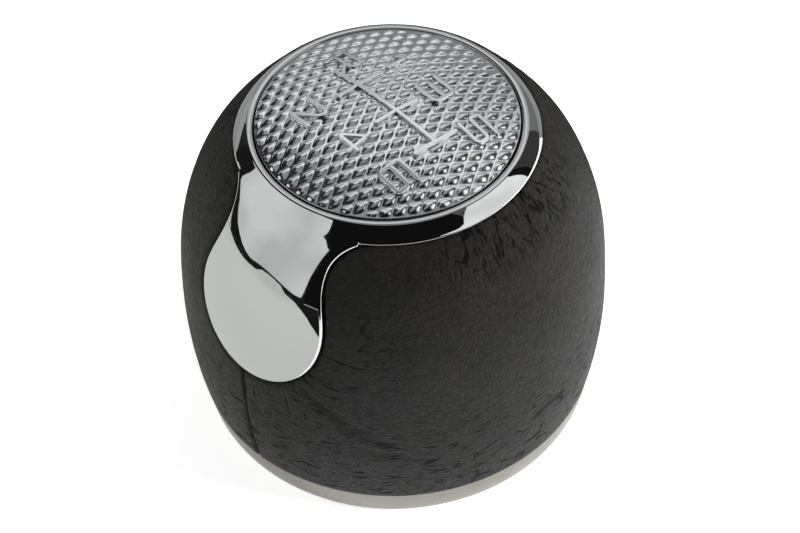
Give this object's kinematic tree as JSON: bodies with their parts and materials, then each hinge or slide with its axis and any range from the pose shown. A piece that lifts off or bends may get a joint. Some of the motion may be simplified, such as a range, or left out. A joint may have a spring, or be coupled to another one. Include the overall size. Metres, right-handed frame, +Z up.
{
  "type": "gear shift knob",
  "caption": "Leather barrel shift knob with a plated collar that flows into a thumb plate, a domed hobnail cap with a raised shift pattern, and a base ring.",
  "frame": {"origin": "centre of the base ring's foot, on the lever's axis, on the surface that the knob stands on", "axes": "+Z up along the lever's axis, +Y ahead to the tops of the digits, +X to the right of the digits"},
  "size_m": [0.055, 0.055, 0.0495],
  "materials": {
    "leather": "fine-grained black nappa, soft sheen",
    "foam": "moulded foam",
    "core_plastic": "glass-filled nylon, moulded",
    "chrome_trim": "bright plated, polished",
    "chrome_cap": "bright plated, hobnail texture",
    "tape": "double-sided foam tape",
    "satin_trim": "satin silver paint",
    "base_plastic": "moulded black plastic",
    "bush_plastic": "moulded black plastic",
    "damper_rubber": "moulded rubber",
    "clamp_steel": "stainless strip",
    "screw_steel": "zinc-plated steel"
  },
  "bodies": {
    "root": {"leather_cover": "leather", "foam_padding": "foam", "core_body": "core_plastic", "chrome_collar": "chrome_trim", "pattern_cap": "chrome_cap", "cap_tape": "tape", "base_ring": "satin_trim", "base_plate": "base_plastic", "lever_bush": "bush_plastic", "bush_damper": "damper_rubber", "clamp_ring": "clamp_steel", "collar_screws": "screw_steel", "base_screws": "screw_steel"}
  },
  "joints": []
}
